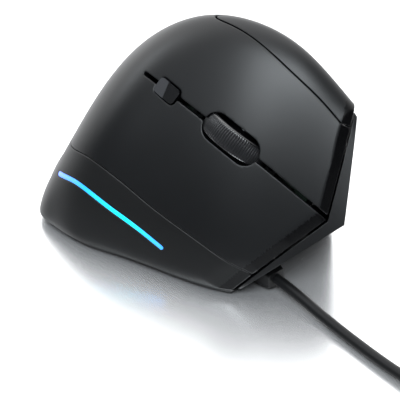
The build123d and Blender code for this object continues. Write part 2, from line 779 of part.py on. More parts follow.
carrier_seat = flank * Pos(0, 0, board_under) * Box(
    carrier_window_length, carrier_window_width + board_slot_gap * 2, wheel_radius * 4)
key_frame = key_frame - carrier_seat
for side in (-1, 1):
    pin = flank * Pos(side * carrier_pin_along, 0, board_under) * Cylinder(
        carrier_pin_radius, board_thickness + carrier_pin_rise + wheel_depth - board_top - carrier_height,
        align=from_foot)
    key_frame = key_frame + pin

board_back = -frame_back + board_edge
board_low = -frame_low + board_edge
board_front = frame_front - board_edge
board_high = frame_high - board_edge * 2
board_outline = [(board_back, board_low), (frame_front - frame_corner, board_low),
                 (board_front, board_low + frame_corner), (board_front, board_high), (board_back, board_high)]
board_form = Polygon(*board_outline, align=None)
key_board = flank * Pos(0, 0, board_under) * extrude(board_form, amount=board_thickness)
key_board = key_board - carrier_seat
for side in (-1, 1):
    key_board = key_board - flank * Pos(side * carrier_pin_along, 0, board_under) * Cylinder(
        carrier_pin_radius + running_gap, board_thickness * 2)


def switch(forward, up, length, width, top, with_plunger):
    """A small switch standing on the slanted board."""
    body = flank * Pos(forward, up, board_top) * Box(
        length, width, top - board_top, align=from_foot)
    if with_plunger:
        body = body + flank * Pos(forward, up, top) * Cylinder(
            plunger_radius, plunger_height, align=from_foot)
    return body


key_switches = [
    switch(key_switch_along, across, switch_width, switch_length, switch_top, True)
    for across in key_switch_places
]

# Wheel: ribbed tyre on a flanged hub, on an axle in a sprung carrier
tyre_points = []
for step in range(tyre_ribs * 2):
    angle = pi * step / tyre_ribs
    radius = wheel_radius if step % 2 else wheel_radius - tyre_rib_depth
    tyre_points.append((radius * cos(angle), radius * sin(angle)))
core_radius = wheel_radius - tyre_thickness
wheel_tyre = wheel_frame * (extrude(Polygon(*tyre_points, align=None), amount=tyre_width / 2, both=True)
                            - Cylinder(core_radius, wheel_width))
flange_radius = wheel_radius - hub_flange_drop
flange_width = (wheel_width - tyre_width) / 2
hub_profile = Cylinder(core_radius, wheel_width)
for side in (-1, 1):
    flange = Pos(0, 0, side * (tyre_width + flange_width) / 2) * Cylinder(flange_radius, flange_width)
    hub_profile = hub_profile + flange
hub_profile = hub_profile - Cylinder(axle_radius, wheel_width * 2)
wheel_hub = wheel_frame * hub_profile
encoder_middle = -(carrier_window_width / 2 + carrier_wall + encoder_gap + encoder_width / 2)
axle_low = encoder_middle - encoder_width / 2
axle_high = carrier_window_width / 2 + carrier_wall
wheel_axle = flank * Pos(0, axle_low, wheel_depth) * Rot(-90, 0, 0) * Cylinder(
    axle_radius, axle_high - axle_low, align=from_foot)
carrier_block = Box(carrier_length, carrier_window_width + carrier_wall * 2, carrier_height)
carrier_block = carrier_block - Box(carrier_window_length, carrier_window_width, carrier_height * 2)
for side in (-1, 1):
    carrier_block = carrier_block - Pos(side * carrier_pin_along, 0, 0) * Cylinder(
        carrier_pin_radius + running_gap, carrier_height * 2)
arm = Pos(0, axle_high, 0) * Box(
    carrier_arm_width, carrier_arm_length, carrier_arm_thickness, align=(Align.CENTER, Align.MIN, Align.CENTER))
carrier_block = carrier_block + arm
bore_length = (axle_high + running_gap) * 2
carrier_block = carrier_block - Rot(90, 0, 0) * Cylinder(axle_radius + running_gap, bore_length)
wheel_carrier = flank * Pos(0, 0, wheel_depth) * carrier_block
middle_across = axle_high + (carrier_arm_length + axle_radius) / 2
middle_switch = switch(0, middle_across, middle_switch_length, middle_switch_width, middle_top, False)
encoder_body = flank * Pos(0, encoder_middle, board_top) * Box(
    encoder_length, encoder_width, wheel_depth + encoder_rise - board_top, align=from_foot)
encoder_bore = flank * Pos(0, encoder_middle, wheel_depth) * Rot(90, 0, 0) * Cylinder(
    encoder_hole_radius, encoder_width * 2)
wheel_encoder = encoder_body - encoder_bore

# Resolution button: a two-faced cap on a stem over its own switch
cap_low = dpi_frame * Pos(0, 0, -dpi_depth) * extrude(dpi_outline, amount=dpi_depth + dpi_proud)
for side in (-1, 1):
    facet = dpi_frame * Pos(0, 0, dpi_proud) * Rot(0, side * dpi_facet_angle, 0) * Box(
        reach, reach, reach, align=from_top)
    cap_low = cap_low & facet
dpi_room = dpi_press + touch_room
dpi_switch_top = board_top + dpi_foot_height
stem_low = flank_point(dpi_along, dpi_across, dpi_switch_top + dpi_room)
stem_top = dpi_frame.origin - dpi_frame.z_dir * (dpi_depth / 2)
stem_line = stem_top - stem_low
dpi_stem = Plane(origin=stem_low, z_dir=stem_line) * Cylinder(
    dpi_stem_radius, stem_line.length, align=from_foot)
dpi_button = cap_low + dpi_stem
dpi_switch = switch(dpi_along, dpi_across, dpi_foot_width, dpi_foot_width, dpi_switch_top, False)

# Thumb switches on an upright board against the frame's tab
thumb_board = Pos(thumb_board_x, thumb_board_y, thumb_board_z) * Box(
    board_thickness, thumb_board_length, thumb_board_height, align=(Align.MIN, Align.CENTER, Align.CENTER))
key_frame = key_frame - Pos(thumb_board_x + board_thickness, thumb_board_y, thumb_board_z) * Box(
    thumb_board_length, thumb_board_length + running_gap * 2, thumb_board_height + running_gap * 2,
    align=(Align.MAX, Align.CENTER, Align.CENTER))
thumb_switches = [
    Pos(thumb_board_x, y * body_length, z * body_height) * Box(
        thumb_switch_depth, thumb_switch_side, thumb_switch_side, align=(Align.MAX, Align.CENTER, Align.CENTER))
    for y, z in thumb_button_shares
]

# Strip lights on an upright board behind the skirt
light_board_x = light_board_shares[0] * body_width
light_board_y = light_board_shares[1] * body_length
light_board_height = light_board_top_share * body_height
light_board = Pos(light_board_x, light_board_y, band_top) * Box(
    light_board_thickness, light_board_length, light_board_height, align=(Align.MAX, Align.CENTER, Align.MIN))
strip_curve = Spline(*[(y * body_length, z * body_height) for y, z in strip_shares])
strip_spots = [strip_curve @ (step / led_steps) for step in range(led_steps + 1)]
strip_leds = []
for share in led_place_shares:
    led_y = share * body_length
    led_z = min(strip_spots, key=lambda spot: abs(spot.X - led_y)).Y
    strip_leds.append(Pos(light_board_x, led_y, led_z) * Box(
        led_depth, led_length, led_height, align=(Align.MIN, Align.CENTER, Align.CENTER)))


# Inner lead, from the boot's collar up to the socket on the main board
def tube(points, bend_radii, tube_radius):
    """A round tube along straight runs joined by tangent arcs."""
    path = FilletPolyline(*points, radius=bend_radii)
    section = Plane(origin=path @ 0, z_dir=path % 0) * Circle(tube_radius)
    return sweep(section, path=path), path


socket_middle = socket_level + socket_height / 2
lead_start = exit_place - exit_heading * (boot_length + neck_length + collar_thickness)
lead_end = Vector(socket_x, socket_y + socket_width / 2, socket_middle)
lead_points = [
    lead_start,
    lead_start - exit_heading * lead_first_run,
    Vector(lead_bend_shares[0] * body_width, lead_bend_shares[1] * body_length, socket_middle),
    lead_end + ahead * lead_last_run,
    lead_end,
]
inner_lead, lead_path = tube(lead_points, [lead_bend_radius] * (len(lead_points) - 2), lead_radius)

# Harness from the slanted board down to the main board, with a plug on each
upper_plug = flank * Pos(harness_along, harness_across, board_top) * Box(
    harness_plug_length, harness_plug_width, harness_plug_height, align=from_foot)
plug_x = harness_board_shares[0] * body_width
plug_y = harness_board_shares[1] * body_length
lower_plug = Pos(plug_x, plug_y, socket_level) * Box(
    harness_plug_width, harness_plug_length, harness_plug_height, align=from_foot)
harness_depth = board_top + harness_plug_height / 2
harness_start = flank_point(harness_along, harness_across - harness_plug_width / 2, harness_depth)
harness_low = harness_across - harness_plug_width / 2 - harness_out_run
harness_turn = flank_point(harness_along, harness_low, harness_depth)
harness_end = Vector(plug_x + harness_plug_width / 2, plug_y, socket_level + harness_plug_height / 2)
harness_points = [harness_start, harness_turn, harness_end + Vector(harness_in_run, 0, 0), harness_end]
harness_bends = [harness_bend_radius] * (len(harness_points) - 2)
harness, harness_path = tube(harness_points, harness_bends, harness_radius)


def bend_radii(points):
    """The radius at each bend: a steady share of the shorter run, turned tangent to both."""
    radii = []
    for before, corner, after in zip(points, points[1:], points[2:]):
        shorter = min((corner - before).length, (after - corner).length)
        half_turn = radians((corner - before).get_angle(after - corner)) / 2
        radii.append(bend_share * shorter / tan(half_turn))
    return radii


# Cable on the desk: straight runs and tangent arcs from the boot to the coil
cable_radius = cable_diameter / 2
desk = Vector(exit_place.X, exit_place.Y, 0)
exit_left = Vector(-exit_heading.Y, exit_heading.X, 0)
cable_route = [desk + exit_heading * out + exit_left * left + Vector(0, 0, height)
               for out, left, height in cable_points]
cable_bends = bend_radii(cable_route)
cable, cable_path = tube(cable_route, cable_bends, cable_radius)

# Coil: half turns that step in and out, climbing a layer where they turn back
coil_heading = (cable_route[-1] - cable_route[-2]).normalized()
coil_left = Vector(-coil_heading.Y, coil_heading.X, 0)
coil_start = cable_route[-1] + coil_heading * cable_diameter
coil_centre = coil_start + coil_left * coil_outer_radius
coil_edges = [Edge.make_line(cable_route[-1], coil_start)]
radius = coil_outer_radius
side = -1
level = 0
spot = coil_start
for count, direction in coil_runs:
    for turn in range(count):
        radius = radius + coil_step * direction
        level = level + (coil_layer_height if direction == 0 else 0)
        side = -side
        following = coil_centre + coil_left * side * radius + Vector(0, 0, level)
        swing = coil_heading * side * (following - spot).length / 2
        coil_edges.append(Edge.make_three_point_arc(spot, (spot + following) / 2 + swing, following))
        spot = following
coil_end = spot + coil_heading * cable_diameter
coil_edges.append(Edge.make_line(spot, coil_end))
coil_section = Plane(origin=cable_route[-1], z_dir=coil_heading) * Circle(cable_radius)
cable_coil = sweep(coil_section, path=Wire(coil_edges))


def least_gap(edges):
    """The smallest gap between two turns of the coil, measured between points half a turn apart or more."""
    spots = []
    travelled = 0
    for edge in edges:
        for step in range(gap_steps):
            share = step / gap_steps
            spots.append((travelled + edge.length * share, edge @ share))
        travelled = travelled + edge.length
    half_turn = pi * tie_inner
    apart = [(there - here).length for far, there in spots for near, here in spots if far - near > half_turn]
    return min(apart) - cable_diameter


# Tie round the coil, on the far side from where the cable comes in
tie_inner = coil_outer_radius - coil_step * coil_runs[0][0] - cable_radius
tie_outer = coil_outer_radius + cable_radius + tie_gap
tie_slack = tie_width * tie_width / (8 * tie_inner)
tie_near = tie_inner - tie_gap - tie_slack
tie_top = coil_end.Z + cable_radius + tie_gap
tie_middle = coil_centre + coil_left * (tie_near + tie_outer) / 2
tie_low = coil_start.Z - cable_radius - tie_gap
tie_origin = (tie_middle.X, tie_middle.Y, (tie_low + tie_top) / 2)
tie_frame = Plane(origin=tie_origin, x_dir=coil_left, z_dir=coil_heading)
tie_room = RectangleRounded(tie_outer - tie_near, tie_top - tie_low, tie_corner)
tie_outline = offset(tie_room, amount=tie_thickness)
cable_tie = tie_frame * extrude(tie_outline - tie_room, amount=tie_width / 2, both=True)

# Tail from the coil down to the plug on the desk
tail_route = [coil_end, coil_end + coil_heading * tail_first_run]
for out, left, height in tail_points:
    foot = Vector(coil_centre.X, coil_centre.Y, 0) + coil_heading * out + coil_left * left
    tail_route.append(foot + Vector(0, 0, height))
tail_bends = bend_radii(tail_route)
cable_tail, tail_path = tube(tail_route, tail_bends, cable_radius)

# Plug: moulded grip, folded metal shell with its windows, and the contact tongue
plug_frame = Plane(origin=tail_route[-1], x_dir=coil_heading, z_dir=coil_left)
neck_end = RectangleRounded(grip_neck_width, grip_neck_height, grip_corner)
grip_section = RectangleRounded(grip_width, grip_height, grip_corner)
grip_neck = loft([neck_end, Pos(0, 0, grip_neck_length) * grip_section])
grip_body = Pos(0, 0, grip_neck_length) * extrude(grip_section, amount=grip_length - grip_neck_length)
usb_grip = plug_frame * (grip_neck + grip_body)
shell_outline = RectangleRounded(plug_shell_width, plug_shell_height, plug_shell_corner)
shell_room = RectangleRounded(
    plug_shell_width - plug_shell_wall * 2, plug_shell_height - plug_shell_wall * 2,
    plug_shell_corner - plug_shell_wall)
plug_shell = Pos(0, 0, grip_length) * extrude(shell_outline - shell_room, amount=plug_shell_length)
for side in (-1, 1):
    plug_shell = plug_shell - Pos(side * plug_window_across, 0, grip_length + plug_window_along) * Box(
        plug_window_side, plug_shell_height * 2, plug_window_side)
usb_shell = plug_frame * plug_shell
tongue_low = -plug_shell_height / 2 + plug_shell_wall
usb_tongue = plug_frame * Pos(0, tongue_low, grip_length) * Box(
    plug_tongue_width, plug_tongue_height, plug_tongue_length, align=(Align.CENTER, Align.MIN, Align.MIN))

node("thumb_shell", thumb_shell)
node("side_skirt", side_skirt)
node("palm_cover", palm_cover)
node("left_key", left_key)
node("right_key", right_key)
node("light_guide", light_guide)
node("forward_button", thumb_buttons[0])
node("back_button", thumb_buttons[1])
node("front_bezel", front_bezel)
node("base_plate", base_plate)
node("front_skate", skates[0])
node("rear_skate", skates[1])
node("key_frame", key_frame)
node("key_board", key_board)
node("key_switches", *key_switches)
node("wheel_tyre", wheel_tyre)
node("wheel_hub", wheel_hub)
node("wheel_axle", wheel_axle)
node("wheel_carrier", wheel_carrier)
node("wheel_encoder", wheel_encoder)
node("middle_switch", middle_switch)
node("dpi_button", dpi_button)
node("dpi_switch", dpi_switch)
node("thumb_board", thumb_board)
node("thumb_switches", *thumb_switches)
node("main_board", main_board)
node("sensor_lens", sensor_lens)
node("sensor_chip", sensor_chip)
node("cable_socket", cable_socket)
node("light_board", light_board)
node("strip_leds", *strip_leds)
node("strain_relief", strain_relief)
node("board_screws", *board_screws)
node("base_screws", *base_screws)
node("inner_lead", inner_lead)
node("harness", harness)
node("harness_plugs", upper_plug, lower_plug)
node("cable", cable)
node("cable_coil", cable_coil)
node("cable_tail", cable_tail)
node("cable_tie", cable_tie)
node("usb_grip", usb_grip)
node("usb_shell", usb_shell)
node("usb_tongue", usb_tongue)

# What the source measures of itself
section_area = pi * cable_radius * cable_radius
print("bend radii", [round(radius, 1) for radius in cable_bends + tail_bends])
for swept, path in ((cable, cable_path), (cable_tail, tail_path)):
    print("volume against section times length", round(swept.volume / (section_area * path.length), 4))
coil_length = sum(edge.length for edge in coil_edges)
print("coil volume against section times length", round(cable_coil.volume / (section_area * coil_length), 4))
print("whole cable, plug not counted", round(cable_path.length + coil_length + tail_path.length, 1))
print("least gap in the coil", round(least_gap(coil_edges), 2), "and it should pass", coil_least_gap)
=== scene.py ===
import math

import bpy
import numpy as np
from mathutils import Matrix, Vector


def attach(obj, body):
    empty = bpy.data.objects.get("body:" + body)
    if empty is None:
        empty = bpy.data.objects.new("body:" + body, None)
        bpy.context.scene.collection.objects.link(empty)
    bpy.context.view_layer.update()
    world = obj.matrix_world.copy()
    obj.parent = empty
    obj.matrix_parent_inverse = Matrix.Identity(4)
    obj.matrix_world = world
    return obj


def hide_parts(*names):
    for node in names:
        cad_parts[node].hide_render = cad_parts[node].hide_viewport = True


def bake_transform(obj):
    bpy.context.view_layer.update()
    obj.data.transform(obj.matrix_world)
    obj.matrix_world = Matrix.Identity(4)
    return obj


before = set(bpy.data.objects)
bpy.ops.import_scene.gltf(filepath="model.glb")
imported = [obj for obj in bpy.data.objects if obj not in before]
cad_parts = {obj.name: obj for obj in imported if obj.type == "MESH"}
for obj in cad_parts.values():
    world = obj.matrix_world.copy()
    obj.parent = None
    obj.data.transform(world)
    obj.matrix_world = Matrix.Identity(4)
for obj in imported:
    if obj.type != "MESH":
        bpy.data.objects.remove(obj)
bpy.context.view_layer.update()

# Camera
# The photograph looks down on the finger side from ahead and to the right, with a long lens.
sight = math.radians(126.0)
rise = math.radians(37.5)
right = np.array([math.cos(sight), math.sin(sight), 0.0])
back = np.array([math.sin(sight) * math.cos(rise), -math.cos(sight) * math.cos(rise), math.sin(rise)])
up = np.cross(back, right)
camera = bpy.data.objects.new("camera", bpy.data.cameras.new("camera"))
camera.data.lens = 128.08
camera.data.sensor_width = 36.0
camera.data.clip_start = 0.01
camera_aim = np.array([0.024, 0.02845, 0.0])
camera_far, camera_aside, camera_above = 0.4590, -0.00677, 0.03065
camera_place = camera_aim + back * camera_far + right * camera_aside + up * camera_above
camera.matrix_world = Matrix([[right[i], up[i], back[i], camera_place[i]] for i in range(3)] + [[0, 0, 0, 1]])
bpy.context.scene.collection.objects.link(camera)
bpy.context.scene.camera = camera
bpy.context.scene.view_settings.view_transform = "Standard"


# Cable
# A 3.5 mm round jacket of soft black plastic. It leaves the boot low in the front, drops to the desk
# and runs straight on. The length that the photograph doesn't show is coiled and tied past its edge.
def moulded(name, colour, roughness, grain=0.0003, depth=0.08, cloud=0.02, shade=0.12, rounding=0.0,
            coat=0.0, shine=0.5):
    """A moulded plastic or rubber: fine grain in its bump, and slow changes in its roughness and shade."""
    made = bpy.data.materials.new(name)
    made.use_nodes = True
    tree = made.node_tree
    surface = tree.nodes["Principled BSDF"]
    surface.inputs["Specular IOR Level"].default_value = shine
    surface.inputs["Coat Weight"].default_value = coat
    surface.inputs["Coat Roughness"].default_value = 0.15
    place = tree.nodes.new("ShaderNodeTexCoord")
    fine = tree.nodes.new("ShaderNodeTexNoise")
    fine.inputs["Scale"].default_value = 1.0 / grain
    fine.inputs["Detail"].default_value = 3.0
    slow = tree.nodes.new("ShaderNodeTexNoise")
    slow.inputs["Scale"].default_value = 1.0 / cloud
    slow.inputs["Detail"].default_value = 5.0
    bump = tree.nodes.new("ShaderNodeBump")
    bump.inputs["Strength"].default_value = depth
    bump.inputs["Distance"].default_value = grain * 0.5
    rough = tree.nodes.new("ShaderNodeMapRange")
    rough.inputs["To Min"].default_value = roughness - 0.05
    rough.inputs["To Max"].default_value = roughness + 0.05
    mix = tree.nodes.new("ShaderNodeMix")
    mix.data_type = "RGBA"
    mix.inputs["A"].default_value = (*[part * (1 - shade) for part in colour], 1)
    mix.inputs["B"].default_value = (*[part * (1 + shade) for part in colour], 1)
    link = tree.links.new
    link(place.outputs["Object"], fine.inputs["Vector"])
    link(place.outputs["Object"], slow.inputs["Vector"])
    link(fine.outputs["Fac"], bump.inputs["Height"])
    link(slow.outputs["Fac"], rough.inputs["Value"])
    link(slow.outputs["Fac"], mix.inputs["Factor"])
    link(rough.outputs["Result"], surface.inputs["Roughness"])
    link(mix.outputs["Result"], surface.inputs["Base Color"])
    if rounding:
        edge = tree.nodes.new("ShaderNodeBevel")
        edge.samples = 6
        edge.inputs["Radius"].default_value = rounding
        link(edge.outputs["Normal"], bump.inputs["Normal"])
    link(bump.outputs["Normal"], surface.inputs["Normal"])
    return made


def dress(node, material):
    """Give a carried-over node its material."""
    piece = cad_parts[node]
    for slot in range(len(piece.material_slots)):
        piece.material_slots[slot].material = material


length, width, height = 116.0, 66.0, 74.0
jacket = moulded("cable_jacket", (0.0040, 0.0042, 0.0048), 0.44, grain=0.0005, depth=0.12, cloud=0.03,
                 shine=0.28)
heading = math.radians(13.4)
ahead = np.array([math.sin(heading), math.cos(heading), 0.0])
left = np.array([-math.cos(heading), math.sin(heading), 0.0])
exit_foot = np.array([0.166 * width, 0.354 * length, 0.0]) / 1000
route = [(0.0, 0.0, 4.3), (8.0, 0.0, 4.3), (22.0, 0.35, 1.8), (47.0, -0.35, 1.8), (62.0, 0.2, 2.45),
         (77.0, 0.3, 2.45)]
path = [exit_foot + (ahead * out + left * aside + np.array([0, 0, lift])) / 1000
        for out, aside, lift in route]
coil_ahead = path[-1] - path[-2]
coil_ahead = coil_ahead / np.linalg.norm(coil_ahead)
coil_left = np.array([-coil_ahead[1], coil_ahead[0], 0.0])
outer_radius, half_turn_growth, layer_rise = 0.02475, 0.0023, 0.0042
arc_points, arc_swell = 7, 1.026
run_in, run_out = 0.0035, 0.0155
start = path[-1] + coil_ahead * run_in
centre = start + coil_left * outer_radius
path.append(start)
radius, side, level, spot = outer_radius, -1, 0.0, start
for count, direction in [(5, -1), (1, 0), (5, 1), (1, 0), (5, -1), (1, 0), (4, 1)]:
    for turn in range(count):
        radius += half_turn_growth * direction
        level += layer_rise if direction == 0 else 0.0
        side = -side
        following = centre + coil_left * side * radius + np.array([0, 0, level])
        middle = (spot + following) / 2
        swing = coil_ahead * side * np.linalg.norm(following - spot) / 2
        for step in range(arc_points):
            angle = math.pi * (step + 0.5) / arc_points
            path.append(middle + (spot - middle) * math.cos(angle) * arc_swell
                        + swing * math.sin(angle) * arc_swell)
        spot = following
path.append(spot + coil_ahead * run_in)
path.append(spot + coil_ahead * run_out)
coil_foot = np.array([centre[0], centre[1], 0])
for out, aside, lift in [(33.0, -15.0, 9.0), (41.0, 4.0, 4.0), (41.0, 18.0, 4.0)]:
    path.append(coil_foot + (coil_ahead * out + coil_left * aside + np.array([0, 0, lift])) / 1000)
curve = bpy.data.curves.new("cable_run", "CURVE")
curve.dimensions = "3D"
line = curve.splines.new("NURBS")
line.points.add(len(path) - 1)
for point, place in zip(line.points, path):
    point.co = (*place, 1)
line.order_u = 3
line.use_endpoint_u = True
line.resolution_u = 8
curve.bevel_depth = 0.00175
curve.bevel_resolution = 8
curve.use_fill_caps = True
cable = bpy.data.objects.new("cable_run", curve)
bpy.context.scene.collection.objects.link(cable)
cable.data.materials.append(jacket)
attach(cable, "root")
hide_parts("cable", "cable_coil", "cable_tail")

# Floor, sky and lights
# A glossy white desk that keeps the mouse's shadow and its soft mirror image. The sky is bright behind
# the mouse and dark on the camera's side. A long softbox lights the finger side, a small lamp the heel.
floor_mesh = bpy.data.meshes.new("desk")
reach, sunk = 3, -0.0002
corners = [(-reach, -reach, sunk), (reach, -reach, sunk), (reach, reach, sunk), (-reach, reach, sunk)]
floor_mesh.from_pydata(corners, [], [(0, 1, 2, 3)])
floor = bpy.data.objects.new("desk", floor_mesh)
bpy.context.scene.collection.objects.link(floor)
desk = bpy.data.materials.new("white_desk")
desk.use_nodes = True
tree = desk.node_tree
tree.nodes.remove(tree.nodes["Principled BSDF"])
matt = tree.nodes.new("ShaderNodeBsdfDiffuse")
polish = tree.nodes.new("ShaderNodeBsdfAnisotropic")
polish.inputs["Color"].default_value = (1.0, 1.0, 1.0, 1)
polish.inputs["Roughness"].default_value = 0.27
rays = tree.nodes.new("ShaderNodeLightPath")
tint = tree.nodes.new("ShaderNodeMix")
tint.data_type = "RGBA"
tint.inputs["A"].default_value = (0.30, 0.30, 0.31, 1)
tint.inputs["B"].default_value = (0.62, 0.62, 0.63, 1)
blend = tree.nodes.new("ShaderNodeMixShader")
blend.inputs["Fac"].default_value = 0.66
tree.links.new(rays.outputs["Is Camera Ray"], tint.inputs["Factor"])
tree.links.new(tint.outputs["Result"], matt.inputs["Color"])
tree.links.new(matt.outputs["BSDF"], blend.inputs[1])
tree.links.new(polish.outputs["BSDF"], blend.inputs[2])
tree.links.new(blend.outputs["Shader"], tree.nodes["Material Output"].inputs["Surface"])
floor_mesh.materials.append(desk)
world = bpy.data.worlds.new("studio")
bpy.context.scene.world = world
world.use_nodes = True
sky = world.node_tree
sheet = sky.nodes["Background"]
sheet.inputs["Color"].default_value = (0.98, 0.99, 1.0, 1)
where = sky.nodes.new("ShaderNodeTexCoord")
toward = sky.nodes.new("ShaderNodeVectorMath")
toward.operation = "DOT_PRODUCT"
toward.inputs[1].default_value = (-0.72, -0.50, 0.45)
fade = sky.nodes.new("ShaderNodeMapRange")
fade.interpolation_type = "SMOOTHSTEP"
fade.inputs["From Min"].default_value = 0.0
fade.inputs["From Max"].default_value = 0.75
fade.inputs["To Min"].default_value = 0.012
fade.inputs["To Max"].default_value = 2.2
seen = sky.nodes.new("ShaderNodeLightPath")
brightest = sky.nodes.new("ShaderNodeMath")
brightest.operation = "MAXIMUM"
sky.links.new(where.outputs["Generated"], toward.inputs[0])
sky.links.new(toward.outputs["Value"], fade.inputs["Value"])
sky.links.new(fade.outputs["Result"], brightest.inputs[0])
sky.links.new(seen.outputs["Is Camera Ray"], brightest.inputs[1])
sky.links.new(brightest.outputs["Value"], sheet.inputs["Strength"])
for name, place, aim, wide, high, power in (
        ("softbox", (0.55, 0.26, 0.88), (0.0, 0.0, 0.04), 1.05, 0.40, 11.5),
        ("low_left", (0.30, -0.80, 0.58), (0.0, 0.0, 0.05), 0.26, 0.28, 0.8)):
    lamp = bpy.data.lights.new(name, "AREA")
    lamp.shape = "RECTANGLE"
    lamp.size = wide
    lamp.size_y = high
    lamp.energy = power
    lamp.color = (0.90, 0.96, 1.0)
    holder = bpy.data.objects.new(name, lamp)
    holder.location = place
    holder.rotation_euler = (Vector(aim) - Vector(place)).to_track_quat("-Z", "Y").to_euler()
    bpy.context.scene.collection.objects.link(holder)

# Thumb shell
# The tall shell on the thumb's side: injection-moulded black plastic with a fine satin grain. It wraps
# over the crest to the first seam and ends in the sloping bevel above the front cap, painted darker as shade.
sections = np.array([
    (0.521, -0.318, 0.628, 0.121, -0.409, 0.0), (0.383, -0.318, 0.780, 0.250, -0.433, 0.0),
    (0.237, -0.311, 0.939, 0.356, -0.455, 0.0), (0.064, -0.295, 0.997, 0.409, -0.485, 0.0),
    (-0.091, -0.258, 0.950, 0.442, -0.485, 0.1), (-0.220, -0.197, 0.818, 0.470, -0.470, 0.3),
    (-0.324, -0.152, 0.608, 0.447, -0.439, 0.4), (-0.401, -0.129, 0.345, 0.380, -0.379, 0.4),
    (-0.444, -0.110, 0.216, 0.250, -0.311, 0.6), (-0.475, -0.095, 0.149, 0.144, -0.250, 0.8),
    (-0.500, -0.085, 0.101, 0.023, -0.174, 0.9)])
finger_side = np.array([(1, 0), (1.03, 0.055), (1.01, 0.135), (0.935, 0.265), (0.80, 0.425), (0.62, 0.60),
                        (0.42, 0.765), (0.24, 0.895), (0.11, 0.97), (0, 1)])
thumb_side = np.array([(0.33, 0.965), (0.60, 0.88), (0.66, 0.77), (0.52, 0.63), (0.33, 0.48), (0.36, 0.33),
                       (0.65, 0.205), (0.97, 0.125), (1.05, 0.065), (0.98, 0)])
finger_dome = np.array([(1, 0), (1.04, 0.09), (1.04, 0.20), (1.0, 0.35), (0.92, 0.52), (0.79, 0.69),
                        (0.62, 0.83), (0.42, 0.93), (0.20, 0.985), (0, 1)])
thumb_dome = np.array([(0.22, 0.985), (0.45, 0.93), (0.66, 0.83), (0.82, 0.69), (0.93, 0.52), (1.0, 0.36),
                       (1.03, 0.22), (1.04, 0.11), (1.03, 0.05), (1.0, 0)])


def smooth_through(knots, rows, wanted):
    """A natural cubic through rows of numbers, read at the wanted places."""
    knots = np.asarray(knots, float)
    shape = rows.shape[1:]
    rows = rows.reshape(len(knots), -1)
    gap = np.diff(knots)
    slope = np.diff(rows, axis=0) / gap[:, None]
    system = np.eye(len(knots))
    known = np.zeros_like(rows)
    for i in range(1, len(knots) - 1):
        system[i, i - 1:i + 2] = gap[i - 1], 2 * (gap[i - 1] + gap[i]), gap[i]
        known[i] = 6 * (slope[i] - slope[i - 1])
    bend = np.linalg.solve(system, known)
    at = np.clip(np.searchsorted(knots, wanted, side="right") - 1, 0, len(knots) - 2)
    near = (wanted - knots[at])[:, None]
    far = (knots[at + 1] - wanted)[:, None]
    step = gap[at][:, None]
    value = (bend[at] * far ** 3 + bend[at + 1] * near ** 3) / (6 * step)
    value += ((rows[at] / step - bend[at] * step / 6) * far
              + (rows[at + 1] / step - bend[at + 1] * step / 6) * near)
    return value.reshape(len(wanted), *shape)


around, lengthways = 305, 201
outlines = []
for along, ridge, top, finger_foot, thumb_foot, dome in sections:
    rows = []
    for foot, plain, domed in ((finger_foot, finger_side, finger_dome), (thumb_foot, thumb_side, thumb_dome)):
        mixed = plain * (1 - dome) + domed * dome
        rows += [((ridge + (foot - ridge) * out) * width, along * length, lift * top * height)
                 for out, lift in mixed]
    outlines.append(rows)
outlines = np.array(outlines)
knots = outlines.shape[1]
outlines = smooth_through(np.arange(knots), outlines.transpose(1, 0, 2), np.linspace(0, knots - 1, around))
outlines = outlines.transpose(1, 0, 2)
spread = np.linalg.norm(np.diff(outlines, axis=0), axis=2).mean(axis=1)
stations = np.concatenate([[0], np.cumsum(spread)])
grid = smooth_through(stations, outlines, np.linspace(0, stations[-1], lengthways))
last = grid[-1]
foot_middle = np.array([(last[0, 0] + last[-1, 0]) / 2, last[0, 1], 0])
cap = [foot_middle + (last - foot_middle) * (share, 1, share) - (0, drop, 0)
       for share, drop in ((0.95, 0.35), (0.85, 0.65), (0.68, 0.9), (0.45, 1.05), (0.2, 1.12), (0.02, 1.14))]
grid = np.concatenate([grid, np.array(cap)])


